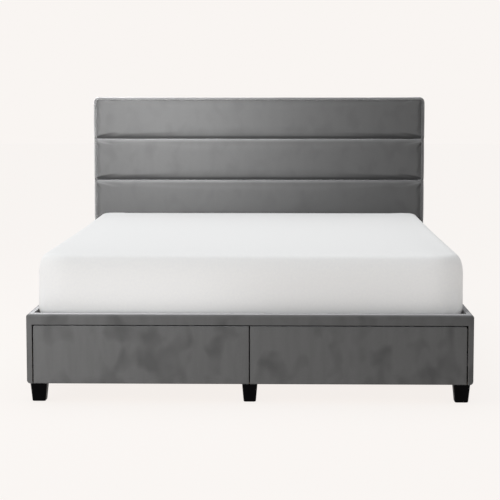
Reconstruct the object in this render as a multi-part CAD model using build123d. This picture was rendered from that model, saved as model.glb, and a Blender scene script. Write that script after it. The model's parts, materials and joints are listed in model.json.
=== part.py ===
from build123d import *
import math
import os

# Queen platform bed: upholstered channel headboard, wrapped side rails, slatted deck,
# two footboard drawers on full-extension ball-bearing slides, and a lift-off mattress.
# Millimetres. +Z is up, +Y runs from the foot to the head, and X runs across the bed.
# The origin is on the floor, at the centre of the bed's outline.

# ---- mattress
mattress_width = 1524.0
mattress_length = 2032.0
mattress_thickness = 254.0
mattress_top_pad = 25.0
mattress_bottom_pad = 15.0
mattress_border = 20.0
mattress_corner = 70.0
mattress_top_round = 20.0
mattress_side_gap = 11.0
mattress_end_gap = 4.0

# ---- frame
leg_height = 70.0
rail_height = 250.0
rail_board = 16.0
velvet = 3.0
mattress_recess = 42.0
inner_lip_height = 58.0
rail_lower_round = 13.0
edge_round = 6.0
foot_rail_depth = 40.0
foot_rail_height = 38.0
bottom_rail_width = 70.0
bottom_rail_thickness = 16.0
middle_rail_offset = 500.0
divider_thickness = 18.0
beam_width = 40.0
beam_height = 50.0
post_size = 40.0
post_count = 3
end_post_inset = 380.0

# ---- slats
slat_width = 70.0
slat_thickness = 18.0
slat_pitch_limit = 146.0
slat_end_gap = 3.0
ledger_width = 25.0
ledger_height = 28.0
strap_width = 25.0
strap_thickness = 1.2
strap_offset = 300.0

# ---- headboard
headboard_height = 1084.0
channel_count = 4
channel_height = 198.0
base_pad_rise = 2.0
channel_depth = 30.0
channel_round = 12.0
base_pad_depth = 8.0
panel_thickness = 9.0
upright_width = 60.0
upright_depth = 42.0
cross_rail_height = 60.0
side_wrap = 5.0
back_thickness = 3.0

# ---- legs
leg_top = 61.0
leg_bottom = 48.0
slim_leg_top = 56.0
slim_leg_bottom = 44.0
leg_outset = 12.5
leg_corner = 8.0
leg_foot_round = 4.0

# ---- drawers
reveal = 4.0
front_board = 16.0
front_corner = 8.0
front_setback = 4.0
box_depth = 500.0
box_wall = 12.0
box_floor = 5.0
box_floor_lift = 8.0
groove_depth = 6.0
groove_clearance = 0.1
box_clearance_below = 6.0
box_clearance_above = 10.0
slide_length = 450.0
slide_height = 45.0
slide_space = 12.7
slide_wall = 1.2
slide_race = 2.0
slide_web_gap = 1.0
slide_flange_gap = 2.5
slide_setback = 6.0

# ---- brackets and fasteners
bracket_leg = 50.0
bracket_height = 120.0
bracket_thickness = 3.0
bracket_lift = 30.0
bracket_hole_inset = 24.0
bracket_hole_spacing = 70.0
bolt_diameter = 8.0
bolt_head_diameter = 14.0
bolt_head_height = 4.5
bolt_side_length = 15.0
bolt_head_end_length = 50.0
bolt_socket = 5.0
bolt_socket_depth = 2.5
screw_diameter = 6.0
screw_length = 46.0
screw_head_diameter = 8.0
screw_head_height = 3.0
screw_recess = 4.0
screw_above_rail_bottom = 10.0
stud_length = 30.0
stud_in_leg = 16.0
hole_clearance = 0.2

# ---- heights worked out from the values above
rail_bottom = leg_height
rail_top = rail_bottom + rail_height
slat_top = rail_top - mattress_recess
slat_bottom = slat_top - slat_thickness
ledger_bottom = slat_bottom - ledger_height
bottom_rail_top = rail_bottom + bottom_rail_thickness
foot_rail_bottom = rail_top - foot_rail_height
front_top = foot_rail_bottom - reveal
box_bottom = bottom_rail_top + box_clearance_below
box_top = ledger_bottom - box_clearance_above
beam_bottom = slat_bottom - beam_height
bracket_bottom = rail_bottom + bracket_lift
base_pad_top = max(headboard_height - channel_count * channel_height, rail_top + base_pad_rise)

# ---- widths, as distances from the centre line
lip_face = mattress_width / 2 + mattress_side_gap
board_face = lip_face + velvet
board_back = board_face + rail_board
half_width = board_back + velvet
divider_face = divider_thickness / 2
box_outer = board_face - slide_space
box_inner = divider_face + slide_space
frame_half = half_width - side_wrap

# ---- lengths, as distances from the foot face, turned into Y by at()
deck_start = foot_rail_depth
deck_end = deck_start + mattress_length + 2 * mattress_end_gap
panel_start = deck_end + channel_depth
base_pad_start = panel_start - base_pad_depth
upright_start = panel_start + panel_thickness
back_start = upright_start + upright_depth
bed_length = back_start + back_thickness
front_depth = front_board + velvet
bottom_rail_start = front_depth + front_setback
box_end = front_depth + box_depth
slide_start = front_depth + slide_setback
middle_rail_start = bottom_rail_start + middle_rail_offset
divider_end = middle_rail_start + bottom_rail_width
leg_head_centre = base_pad_start + leg_top / 2

sides = {"left": -1, "right": 1}


def at(distance):
    """Y of a plane that lies this far behind the foot face."""
    return distance - bed_length / 2


def block(x0, x1, y0, y1, z0, z1):
    """A box between two planes on each axis. Y is given as distances from the foot face."""
    size = (abs(x1 - x0), abs(y1 - y0), abs(z1 - z0))
    centre = ((x0 + x1) / 2, at((y0 + y1) / 2), (z0 + z1) / 2)
    return Pos(*centre) * Box(*size)


def rod(radius, start, direction, length):
    """A cylinder from a start point along a direction."""
    return Plane(origin=start, z_dir=direction) * Cylinder(
        radius, length, align=(Align.CENTER, Align.CENTER, Align.MIN)
    )


def edges_at(shape, axis, **places):
    """The straight edges that run along an axis and lie on the given planes, such as X=5, Z=7."""
    found = shape.edges().filter_by(axis)
    for letter, value in places.items():
        found = found.filter_by(lambda e, n=letter, v=value: abs(getattr(e.center(), n) - v) < 0.01)
    return found


def write(name, shape):
    export_step(shape, os.path.join("parts", name + ".step"))


# ---- fasteners, each with the hole that it needs


def screw_places(side):
    """Heads of the screws through a side board: into the foot rail and the two bottom rails."""
    head_x = side * (board_back - screw_recess)
    rail_y = foot_rail_depth / 2
    rail_z = foot_rail_bottom + foot_rail_height / 2
    places = [(head_x, at(rail_y), rail_z)]
    for start in (bottom_rail_start, middle_rail_start):
        for share in (0.25, 0.75):
            y = at(start + share * bottom_rail_width)
            places.append((head_x, y, rail_bottom + screw_above_rail_bottom))
    return places


def screw(side, place):
    inward = (-side, 0, 0)
    head = rod(screw_head_diameter / 2, place, inward, screw_head_height)
    return head + rod(screw_diameter / 2, place, inward, screw_length)


def screw_hole(side, place):
    """A countersink open to the board's outer face, then a clearance hole."""
    x, y, z = place
    inward = (-side, 0, 0)
    mouth = (x + side * 2 * screw_recess, y, z)
    depth = 2 * screw_recess + screw_head_height
    head = rod(screw_head_diameter / 2 + hole_clearance, mouth, inward, depth)
    return head + rod(screw_diameter / 2 + hole_clearance, place, inward, screw_length + 1)


def bolt_heights():
    middle = bracket_bottom + bracket_height / 2
    return [middle + s * bracket_hole_spacing / 2 for s in (-1, 1)]


def bolt_places(side):
    """Seat, direction and length of each bolt of a head bracket: two outwards, two towards the head."""
    side_x = side * (board_face - bracket_thickness)
    side_y = at(base_pad_start - bracket_hole_inset)
    head_x = side * (board_face - bracket_hole_inset)
    head_y = at(base_pad_start - bracket_thickness)
    places = []
    for z in bolt_heights():
        places.append(((side_x, side_y, z), (side, 0, 0), bolt_side_length))
        places.append(((head_x, head_y, z), (0, 1, 0), bolt_head_end_length))
    return places


def bolt(seat, direction, length):
    """A button-head bolt: its shank runs from the seat along the direction, and its head stands behind."""
    back = tuple(-d for d in direction)
    head = rod(bolt_head_diameter / 2, seat, back, bolt_head_height)
    socket_start = tuple(s + b * (bolt_head_height - bolt_socket_depth) for s, b in zip(seat, back))
    socket = Plane(origin=socket_start, z_dir=back) * extrude(
        RegularPolygon(bolt_socket / 2, 6), bolt_socket_depth + 1
    )
    return head - socket + rod(bolt_diameter / 2, seat, direction, length)


def bolt_hole(seat, direction, length):
    start = tuple(s - d for s, d in zip(seat, direction))
    return rod(bolt_diameter / 2 + hole_clearance, start, direction, length + 2)


def leg_places():
    """X and distance from the foot face of each leg's centre."""
    foot_x = board_face + leg_outset - leg_top / 2
    foot_y = bottom_rail_start + bottom_rail_width / 2
    head_x = frame_half - upright_width / 2
    return {
        "leg_foot_left": (-foot_x, foot_y),
        "leg_foot_center": (0.0, foot_y),
        "leg_foot_right": (foot_x, foot_y),
        "leg_middle": (0.0, middle_rail_start + bottom_rail_width / 2),
        "leg_head_left": (-head_x, leg_head_centre),
        "leg_head_right": (head_x, leg_head_centre),
    }


def stud(place, slack=0.0):
    x, y = place
    start = (x, at(y), leg_height - stud_in_leg - slack)
    return rod(bolt_diameter / 2 + slack, start, (0, 0, 1), stud_length + 2 * slack)


def without(shape, cutters):
    """The shape with every cutter taken away."""
    for cutter in cutters:
        shape = shape - cutter
    return shape


def screw_holes():
    return [screw_hole(s, p) for s in sides.values() for p in screw_places(s)]


def bolt_holes():
    return [bolt_hole(*b) for s in sides.values() for b in bolt_places(s)]


def stud_holes():
    return [stud(p, hole_clearance) for p in leg_places().values()]


# ---- side rails


def side_board(side):
    board = block(
        side * board_face, side * board_back, velvet, base_pad_start,
        rail_bottom + velvet, rail_top - velvet,
    )
    lower = edges_at(board, Axis.Y, X=side * board_back, Z=rail_bottom + velvet)
    board = fillet(lower, min(rail_lower_round - velvet, rail_board * 0.9))
    own = [screw_hole(side, p) for p in screw_places(side)]
    return without(board, own + [bolt_hole(*b) for b in bolt_places(side)])


def side_cover(side):
    """Foam-backed velvet round the board's outer face, edges and foot end, with a lip over the inner face."""
    outside = block(
        side * board_face, side * half_width, 0, base_pad_start, rail_bottom, rail_top
    )
    lower = edges_at(outside, Axis.Y, X=side * half_width, Z=rail_bottom)
    outside = fillet(lower, min(rail_lower_round, (rail_board + velvet) * 0.9))
    upper = edges_at(outside, Axis.Y, X=side * half_width, Z=rail_top)
    outside = fillet(upper, min(edge_round, 2 * velvet))
    pocket = block(
        side * (board_face - 1), side * board_back, velvet, base_pad_start + 1,
        rail_bottom + velvet, rail_top - velvet,
    )
    pocket_lower = edges_at(pocket, Axis.Y, X=side * board_back, Z=rail_bottom + velvet)
    pocket = fillet(pocket_lower, min(rail_lower_round - velvet, rail_board * 0.9))
    lip = block(
        side * lip_face, side * board_face, foot_rail_depth, base_pad_start,
        rail_top - inner_lip_height, rail_top,
    )
    return outside - pocket + lip


def ledger(side):
    return block(
        side * (board_face - ledger_width), side * board_face, foot_rail_depth, base_pad_start,
        ledger_bottom, slat_bottom,
    )


# ---- foot rail, bottom rails, divider and centre beam


def foot_rail():
    board = block(
        -board_face, board_face, velvet, foot_rail_depth - velvet,
        foot_rail_bottom + velvet, rail_top - velvet,
    )
    return without(board, screw_holes())


def foot_rail_cover():
    outside = block(-board_face, board_face, 0, foot_rail_depth, foot_rail_bottom, rail_top)
    top_edges = edges_at(outside, Axis.X, Z=rail_top)
    outside = fillet(top_edges, min(edge_round, 2 * velvet))
    return outside - block(
        -board_face - 1, board_face + 1, velvet, foot_rail_depth - velvet,
        foot_rail_bottom + velvet, rail_top - velvet,
    )


def bottom_rail(start):
    board = block(
        -board_face, board_face, start, start + bottom_rail_width, rail_bottom, bottom_rail_top
    )
    return without(board, screw_holes() + stud_holes())


def drawer_divider():
    """Stands on both bottom rails, carries the slats, and rises at the foot end to carry the foot rail."""
    body = block(
        -divider_face, divider_face, bottom_rail_start, divider_end, bottom_rail_top, slat_bottom
    )
    riser = block(
        -divider_face, divider_face, bottom_rail_start, foot_rail_depth, slat_bottom, foot_rail_bottom
    )
    return body + riser


def center_beam():
    half = beam_width / 2
    return block(-half, half, divider_end, base_pad_start, beam_bottom, slat_bottom)


def center_posts():
    """Posts under the beam: one at its foot end, one short of its head end, the rest evenly between."""
    half = post_size / 2
    first = divider_end + half
    last = base_pad_start - end_post_inset
    step = (last - first) / (post_count - 1)
    centres = [first + i * step for i in range(post_count)]
    return Compound([block(-half, half, c - half, c + half, 0, beam_bottom) for c in centres])


# ---- slats


def slat_centres():
    count = math.ceil((deck_end - deck_start) / slat_pitch_limit)
    pitch = (deck_end - deck_start) / count
    return [deck_start + pitch * (i + 0.5) for i in range(count)]


def slats():
    """Slats that rest on the ledgers, the divider and the beam, between the lips of the side covers."""
    end = lip_face - slat_end_gap
    half = slat_width / 2
    return Compound([
        block(-end, end, c - half, c + half, slat_bottom, slat_top) for c in slat_centres()
    ])


def slat_straps():
    """Webbing stapled under the slats, which keeps their spacing."""
    first = slat_centres()[0] - slat_width / 2
    last = slat_centres()[-1] + slat_width / 2
    half = strap_width / 2
    return Compound([
        block(x - half, x + half, first, last, slat_bottom - strap_thickness, slat_bottom)
        for x in (-strap_offset, strap_offset)
    ])


# ---- headboard


def channel_top(number):
    """Height of the upper edge of a channel, counted from 1 at the top."""
    return headboard_height - (number - 1) * channel_height


def channel(number):
    """A padded channel over the full width. The lowest one stops above the side rails."""
    bottom = max(channel_top(number + 1), base_pad_top)
    pad = block(-half_width, half_width, deck_end, panel_start, bottom, channel_top(number))
    front = pad.faces().sort_by(Axis.Y)[0]
    return fillet(front.edges(), min(channel_round, channel_depth * 0.8))


def base_pad():
    pad = block(
        -half_width, half_width, base_pad_start, panel_start, rail_bottom, base_pad_top
    )
    return without(pad, bolt_holes())


def headboard_panel():
    panel = block(
        -frame_half, frame_half, panel_start, upright_start,
        rail_bottom, headboard_height - side_wrap,
    )
    return without(panel, bolt_holes())


def headboard_upright(side):
    post = block(
        side * frame_half, side * (frame_half - upright_width), upright_start, back_start,
        rail_bottom, headboard_height - side_wrap,
    )
    return without(post, bolt_holes() + stud_holes())


def headboard_cross_rail(bottom):
    end = frame_half - upright_width
    return block(-end, end, upright_start, back_start, bottom, bottom + cross_rail_height)


def headboard_side_wrap(side):
    return block(
        side * frame_half, side * half_width, panel_start, bed_length,
        rail_bottom, headboard_height,
    )


def headboard_top_wrap():
    return block(
        -frame_half, frame_half, panel_start, bed_length,
        headboard_height - side_wrap, headboard_height,
    )


def headboard_back():
    return block(
        -frame_half, frame_half, back_start, bed_length,
        rail_bottom, headboard_height - side_wrap,
    )


# ---- legs


def leg(place):
    """A moulded square leg that tapers to the floor, slimmer on the centre line, with a hole for its stud."""
    x, y = place
    wide, narrow = (slim_leg_top, slim_leg_bottom) if x == 0 else (leg_top, leg_bottom)
    foot = Pos(x, at(y), 0) * RectangleRounded(narrow, narrow, leg_corner)
    top = Pos(x, at(y), leg_height) * RectangleRounded(wide, wide, leg_corner)
    body = loft([foot, top])
    sole = body.faces().sort_by(Axis.Z)[0]
    body = fillet(sole.edges(), min(leg_foot_round, leg_corner / 2))
    return body - stud(place, hole_clearance)


# ---- drawers


def front_span(side):
    """X of a drawer front's inner and outer edges."""
    return side * reveal / 2, side * (board_face - reveal)


def drawer_front_board(side):
    inner, outer = front_span(side)
    board = block(
        inner + side * velvet, outer - side * velvet, velvet, front_depth,
        rail_bottom + velvet, front_top - velvet,
    )
    corner = edges_at(board, Axis.Y, X=outer - side * velvet, Z=front_top - velvet)
    return fillet(corner, front_corner - velvet)


def drawer_front_cover(side):
    """Velvet over the face and the four edges of the front board, open at the back."""
    inner, outer = front_span(side)
    cover = block(inner, outer, 0, front_depth, rail_bottom, front_top)
    cover = fillet(edges_at(cover, Axis.Y, X=outer, Z=front_top), front_corner)
    pocket = block(
        inner + side * velvet, outer - side * velvet, velvet, front_depth + 1,
        rail_bottom + velvet, front_top - velvet,
    )
    corner = edges_at(pocket, Axis.Y, X=outer - side * velvet, Z=front_top - velvet)
    return cover - fillet(corner, front_corner - velvet)


def box_groove(side):
    """The slot round the inside of the box that holds its floor."""
    inset = box_wall - groove_depth
    z0 = box_bottom + box_floor_lift - groove_clearance
    z1 = box_bottom + box_floor_lift + box_floor + groove_clearance
    return block(
        side * (box_inner + inset), side * (box_outer - inset),
        front_depth + inset, box_end - inset, z0, z1,
    )


def box_side(side, x0, x1):
    wall = block(side * x0, side * x1, front_depth, box_end, box_bottom, box_top)
    return wall - box_groove(side)


def box_cross(side, start):
    wall = block(
        side * (box_inner + box_wall), side * (box_outer - box_wall),
        start, start + box_wall, box_bottom, box_top,
    )
    return wall - box_groove(side)


def box_floor_panel(side):
    inset = box_wall - groove_depth + groove_clearance
    z0 = box_bottom + box_floor_lift
    return block(
        side * (box_inner + inset), side * (box_outer - inset),
        front_depth + inset, box_end - inset, z0, z0 + box_floor,
    )


# ---- drawer slides: three nested channels on each side of a box


def slide_channel(start_x, direction, web, reach, height):
    """A channel along Y. Its web starts at web and its flanges end at reach, both measured from start_x."""
    z0 = (box_bottom + box_top - height) / 2
    z1 = z0 + height
    x0 = start_x + direction * web
    x1 = start_x + direction * reach
    step = direction * math.copysign(slide_wall, reach - web)
    end = slide_start + slide_length
    outside = block(x0, x1, slide_start, end, z0, z1)
    hollow = block(
        x0 + step, x1 + step, slide_start - 1, end + 1, z0 + slide_wall, z1 - slide_wall
    )
    return outside - hollow


def slide_faces(side):
    """Start face and direction, from the frame towards the box, of a drawer's two slides."""
    return [(side * board_face, -side), (side * divider_face, side)]


def slide_members(side, member):
    nest = 2 * (slide_wall + slide_race)
    first_web = slide_wall + slide_web_gap
    second_web = first_web + slide_wall + slide_web_gap
    shapes = {
        "frame": (0.0, slide_space - slide_wall - slide_flange_gap, slide_height),
        "middle": (first_web, slide_space - slide_flange_gap, slide_height - nest),
        "box": (slide_space, second_web, slide_height - 2 * nest),
    }
    web, reach, height = shapes[member]
    return Compound([
        slide_channel(face, direction, web, reach, height) for face, direction in slide_faces(side)
    ])


# ---- brackets


def head_bracket(side):
    """Steel angle that ties a side rail to the headboard."""
    z0 = bracket_bottom
    z1 = z0 + bracket_height
    face = side * board_face
    along = block(
        face, face - side * bracket_thickness, base_pad_start - bracket_leg, base_pad_start, z0, z1
    )
    across = block(
        face, face - side * bracket_leg, base_pad_start - bracket_thickness, base_pad_start, z0, z1
    )
    return without(along + across, [bolt_hole(*b) for b in bolt_places(side)])


# ---- mattress


def mattress_solids():
    """A sprung mattress as its top pad, border and bottom pad, round the space of the spring unit."""
    y = at((deck_start + deck_end) / 2)
    outline = RectangleRounded(mattress_width, mattress_length, mattress_corner)
    inside = RectangleRounded(
        mattress_width - 2 * mattress_border, mattress_length - 2 * mattress_border,
        mattress_corner - mattress_border,
    )
    side_height = mattress_thickness - mattress_top_pad - mattress_bottom_pad
    bottom = Pos(0, y, slat_top) * extrude(outline, mattress_bottom_pad)
    border_z = slat_top + mattress_bottom_pad
    border = Pos(0, y, border_z) * extrude(outline - inside, side_height)
    top = Pos(0, y, border_z + side_height) * extrude(outline, mattress_top_pad)
    crown = top.faces().sort_by(Axis.Z)[-1]
    top = fillet(crown.edges(), min(mattress_top_round, mattress_top_pad * 0.9))
    return Compound([bottom.solid(), border.solid(), top.solid()])


def write_frame():
    for name, side in sides.items():
        write(f"side_rail_{name}", side_board(side))
        write(f"side_rail_cover_{name}", side_cover(side))
        write(f"slat_ledger_{name}", ledger(side))
    write("foot_rail", foot_rail())
    write("foot_rail_cover", foot_rail_cover())
    write("bottom_rail_front", bottom_rail(bottom_rail_start))
    write("bottom_rail_middle", bottom_rail(middle_rail_start))
    write("drawer_divider", drawer_divider())
    write("center_beam", center_beam())
    write("center_posts", center_posts())
    write("slats", slats())
    write("slat_straps", slat_straps())
    for name, place in leg_places().items():
        write(name, leg(place))


def write_headboard():
    for number in range(1, channel_count + 1):
        write(f"headboard_channel_{number}", channel(number))
    write("headboard_base_pad", base_pad())
    write("headboard_panel", headboard_panel())
    for name, side in sides.items():
        write(f"headboard_upright_{name}", headboard_upright(side))
        write(f"headboard_side_wrap_{name}", headboard_side_wrap(side))
    top = headboard_height - side_wrap - cross_rail_height
    write("headboard_rail_top", headboard_cross_rail(top))
    write("headboard_rail_bottom", headboard_cross_rail(rail_bottom))
    write("headboard_top_wrap", headboard_top_wrap())
    write("headboard_back", headboard_back())


def write_drawers():
    for name, side in sides.items():
        drawer = f"drawer_{name}"
        write(f"{drawer}_front_board", drawer_front_board(side))
        write(f"{drawer}_front_cover", drawer_front_cover(side))
        write(f"{drawer}_side_outer", box_side(side, box_outer - box_wall, box_outer))
        write(f"{drawer}_side_inner", box_side(side, box_inner, box_inner + box_wall))
        write(f"{drawer}_box_front", box_cross(side, front_depth))
        write(f"{drawer}_box_back", box_cross(side, box_end - box_wall))
        write(f"{drawer}_box_floor", box_floor_panel(side))
        write(f"{drawer}_slides_frame", slide_members(side, "frame"))
        write(f"{drawer}_slides_middle", slide_members(side, "middle"))
        write(f"{drawer}_slides_box", slide_members(side, "box"))


def write_fasteners():
    screws = [screw(s, p) for s in sides.values() for p in screw_places(s)]
    bolts = [bolt(*b) for s in sides.values() for b in bolt_places(s)]
    studs = [stud(p) for p in leg_places().values()]
    write("head_brackets", Compound([head_bracket(s).solid() for s in sides.values()]))
    write("bracket_bolts", Compound([b.solid() for b in bolts]))
    write("frame_screws", Compound([s.solid() for s in screws]))
    write("leg_studs", Compound([s.solid() for s in studs]))


def main():
    os.makedirs("parts", exist_ok=True)
    write_frame()
    write_headboard()
    write_drawers()
    write_fasteners()
    write("mattress", mattress_solids())


main()
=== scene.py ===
import json
import math

import bmesh
import bpy
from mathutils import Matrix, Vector, noise

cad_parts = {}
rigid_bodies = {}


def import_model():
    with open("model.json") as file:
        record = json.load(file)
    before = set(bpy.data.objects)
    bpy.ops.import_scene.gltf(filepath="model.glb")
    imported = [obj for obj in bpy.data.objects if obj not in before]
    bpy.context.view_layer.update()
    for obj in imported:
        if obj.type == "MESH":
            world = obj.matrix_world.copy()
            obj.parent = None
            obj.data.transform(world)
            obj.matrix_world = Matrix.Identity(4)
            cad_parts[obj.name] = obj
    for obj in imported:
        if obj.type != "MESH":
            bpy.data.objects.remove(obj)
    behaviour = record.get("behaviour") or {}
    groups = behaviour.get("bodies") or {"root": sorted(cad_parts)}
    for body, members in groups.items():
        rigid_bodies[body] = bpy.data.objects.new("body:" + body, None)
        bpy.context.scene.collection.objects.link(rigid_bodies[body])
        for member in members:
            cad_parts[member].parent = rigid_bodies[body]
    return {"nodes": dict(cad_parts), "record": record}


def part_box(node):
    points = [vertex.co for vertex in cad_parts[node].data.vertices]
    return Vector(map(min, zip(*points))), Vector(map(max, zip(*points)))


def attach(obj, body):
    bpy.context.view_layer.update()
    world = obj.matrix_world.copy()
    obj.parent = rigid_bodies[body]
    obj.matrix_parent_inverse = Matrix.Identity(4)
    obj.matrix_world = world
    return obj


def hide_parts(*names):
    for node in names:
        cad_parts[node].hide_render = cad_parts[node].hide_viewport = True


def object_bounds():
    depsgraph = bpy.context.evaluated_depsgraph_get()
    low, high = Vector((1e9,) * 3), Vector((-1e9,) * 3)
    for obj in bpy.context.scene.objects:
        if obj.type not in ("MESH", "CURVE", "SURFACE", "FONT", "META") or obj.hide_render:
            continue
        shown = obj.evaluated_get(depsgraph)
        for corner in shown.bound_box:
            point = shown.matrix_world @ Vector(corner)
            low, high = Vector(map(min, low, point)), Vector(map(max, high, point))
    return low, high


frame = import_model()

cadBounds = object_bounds()
scene = bpy.context.scene
nodes = frame["nodes"]
mm = 0.001
footFace = cadBounds[0].y  # the foot end of the bed
tiny = 1e-5  # nearer than this, two places are the same
print("frame loaded,", len(nodes), "nodes")


def hexColour(code):  # sRGB hex to the linear values that Blender's sockets take
    parts = [int(code[i:i + 2], 16) / 255 for i in (1, 3, 5)]
    return [p / 12.92 if p <= 0.04045 else ((p + 0.055) / 1.055) ** 2.4 for p in parts] + [1.0]


def setInputs(material, node, inputs):  # each input takes a value, or another node's output as a link
    for key, value in inputs.items():
        if isinstance(value, bpy.types.NodeSocket):
            material.node_tree.links.new(value, node.inputs[key])
        else:
            node.inputs[key].default_value = value


def addNode(material, kind, inputs=None, output=0, **settings):
    node = material.node_tree.nodes.new("ShaderNode" + kind)
    for key, value in settings.items():
        setattr(node, key, value)
    setInputs(material, node, inputs or {})
    return node.outputs[output]


def newMaterial(name):
    material = bpy.data.materials.new(name)
    material.use_nodes = True
    place = addNode(material, "TexCoord", output="Object")
    return material, material.node_tree.nodes["Principled BSDF"], place


# pattern sizes are real ones in millimetres; a noise or a Voronoi at scale 1 repeats every metre, and a wave
# every 314 mm along its own axis
velvetLook = {
    # the pale colour is a painted highlight and the near-black one a painted shade, mixed in by each face's
    # slope
    "colour": "#575757", "brushedColour": "#494949", "paintedHighlightColour": "#c4c4c6", "paintedShadeColour": "#0c0c0d",
    "paintedShoulderShare": 0.09, "paintedShadeShare": 0.95,
    "sheen": 0.7, "sheenRoughness": 0.38, "sheenTint": "#f2f2f4", "roughness": 0.9,
    "pileMm": 2.4, "patchMm": 62, "streakMm": 30,
}


def velvet(name, marks, depth, paintedSheenShare):
    # polyester velvet, a short cut pile that hangs down the cloth: soft, no gloss, with a painted highlight
    # on level tops seen edge-on and on upward shoulders, a painted shade on faces that turn downwards, and
    # patchy where a hand has brushed it; marks is how strongly it is brushed, depth scales the colour of each
    # copy as painted light and shade, and the last argument how strong the painted highlight on a flat top is
    look = velvetLook
    material, shader, place = newMaterial(name)
    upright = addNode(material, "Mapping", {"Vector": place, "Scale": (1.0, 1.0, 0.7)})  # taller than wide
    handled = {"Vector": upright, "Scale": 1000 / look["patchMm"], "Detail": 1.0, "Roughness": 0.4}
    patches = addNode(material, "TexNoise", {**handled, "Distortion": 0.35})
    hanging = addNode(material, "Mapping", {"Vector": place, "Scale": (1.0, 1.0, 0.12)})  # drawn downwards
    brush = {"Vector": hanging, "Scale": 1000 / look["streakMm"], "Detail": 2.0}
    streaks = addNode(material, "TexNoise", brush)
    dark = addNode(material, "MapRange", {0: patches, 1: 0.46, 2: 0.76, 3: 0.0, 4: marks})
    streaked = addNode(material, "MapRange", {0: streaks, 1: 0.4, 2: 0.75, 3: 0.0, 4: 0.3 * marks})
    brushed = addNode(material, "Math", {0: dark, 1: streaked}, operation="MAXIMUM")
    cloth = {0: brushed, 6: hexColour(look["colour"]), 7: hexColour(look["brushedColour"])}
    tone = addNode(material, "Mix", cloth, output=2, data_type="RGBA")
    # the real pile is 0.3 mm thick, drawn coarser so that it shows
    tufts = {"Vector": place, "Scale": 1000 / look["pileMm"], "Detail": 2.0, "Roughness": 0.6}
    pile = addNode(material, "TexNoise", tufts)
    # depth scales the whole colour: painted light and shade, set separately for each copy
    grain = addNode(material, "MapRange", {0: pile, 1: 0.3, 2: 0.7, 3: 0.93 * depth, 4: 1.07 * depth})
    grained = addNode(material, "VectorMath", {0: tone, "Scale": grain}, operation="SCALE")
    # painted highlight: level tops seen edge-on and upward-sloping shoulders turn pale, standing in for sheen
    # and overhead light
    facing = addNode(material, "LayerWeight", {"Blend": 0.5}, output="Facing")
    normal = addNode(material, "NewGeometry", output="Normal")
    upward = addNode(material, "SeparateXYZ", {0: normal}, output="Z")
    edgeOnSheen = addNode(material, "MapRange", {0: facing, 1: 0.6, 2: 0.95, 3: 0.0, 4: paintedSheenShare})
    level = addNode(material, "MapRange", {0: upward, 1: 0.6, 2: 0.98})
    paintedTopSheen = addNode(material, "Math", {0: edgeOnSheen, 1: level}, operation="MULTIPLY")
    shoulderHighlight = addNode(material, "MapRange", {0: upward, 1: 0.25, 2: 0.85, 3: 0.0, 4: look["paintedShoulderShare"]})
    highlightMask = addNode(material, "Math", {0: paintedTopSheen, 1: shoulderHighlight}, operation="MAXIMUM")
    pale = {0: highlightMask, 6: grained, 7: hexColour(look["paintedHighlightColour"])}
    highlighted = addNode(material, "Mix", pale, output=2, data_type="RGBA")
    # painted shade: faces that turn downwards darken towards near black, standing in for the shade under the
    # channels' shoulders and in the seams
    under = addNode(material, "MapRange", {0: upward, 1: -0.15, 2: -0.85, 3: 0.0, 4: look["paintedShadeShare"]})
    shadeMix = {0: under, 6: highlighted, 7: hexColour(look["paintedShadeColour"])}
    colour = addNode(material, "Mix", shadeMix, output=2, data_type="RGBA")
    leaning = addNode(material, "Bump", {"Height": patches, "Distance": 1.5 * marks * mm, "Strength": 0.4})
    raised = {"Height": pile, "Distance": 0.25 * mm, "Strength": 0.5, "Normal": leaning}
    fuzz = addNode(material, "Bump", raised)
    setInputs(material, shader, {
        "Base Color": colour, "Normal": fuzz, "Roughness": look["roughness"], "Specular IOR Level": 0.1,
        "Sheen Weight": look["sheen"], "Sheen Roughness": look["sheenRoughness"],
        "Sheen Tint": hexColour(look["sheenTint"]),
    })
    return material


def paintedShadeTape():
    # black tape laid into the gaps round the drawer fronts as painted shade, where only shade falls: flat and
    # dull, with a fine rib
    material, shader, place = newMaterial("paintedShadeTape")
    ribs = {"Vector": place, "Scale": 314 / 1.6}  # real ribs are 0.8 mm apart, drawn at twice that
    rib = addNode(material, "TexWave", ribs, output="Fac", bands_direction="DIAGONAL")
    mixed = {0: rib, 6: hexColour("#0e0e0f"), 7: hexColour("#1a1a1b")}
    setInputs(material, shader, {
        "Base Color": addNode(material, "Mix", mixed, output=2, data_type="RGBA"),
        "Normal": addNode(material, "Bump", {"Height": rib, "Distance": 0.1 * mm, "Strength": 0.5}),
        "Roughness": 0.95, "Specular IOR Level": 0.05,
    })
    return material


def knitTicking():
    # white polyester knit over foam: matt, faintly fuzzy, with small knitted cells
    material, shader, place = newMaterial("knitTicking")
    cells = addNode(material, "TexVoronoi", {"Vector": place, "Scale": 1000 / 4.0, "Randomness": 0.35})
    fuzz = addNode(material, "TexNoise", {"Vector": place, "Scale": 1000 / 9.0, "Detail": 3.0})
    share = addNode(material, "MapRange", {0: fuzz, 1: 0.3, 2: 0.7})
    mixed = {0: share, 6: hexColour("#eeeeee"), 7: hexColour("#f1f1f0")}
    soft = addNode(material, "Bump", {"Height": fuzz, "Distance": 0.3 * mm, "Strength": 0.4})
    setInputs(material, shader, {
        "Base Color": addNode(material, "Mix", mixed, output=2, data_type="RGBA"),
        "Normal": addNode(
            material, "Bump", {"Height": cells, "Distance": 0.25 * mm, "Strength": 0.35, "Normal": soft}
        ),
        "Roughness": 0.9, "Specular IOR Level": 0.2, "Sheen Weight": 0.15,
    })
    return material


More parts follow.
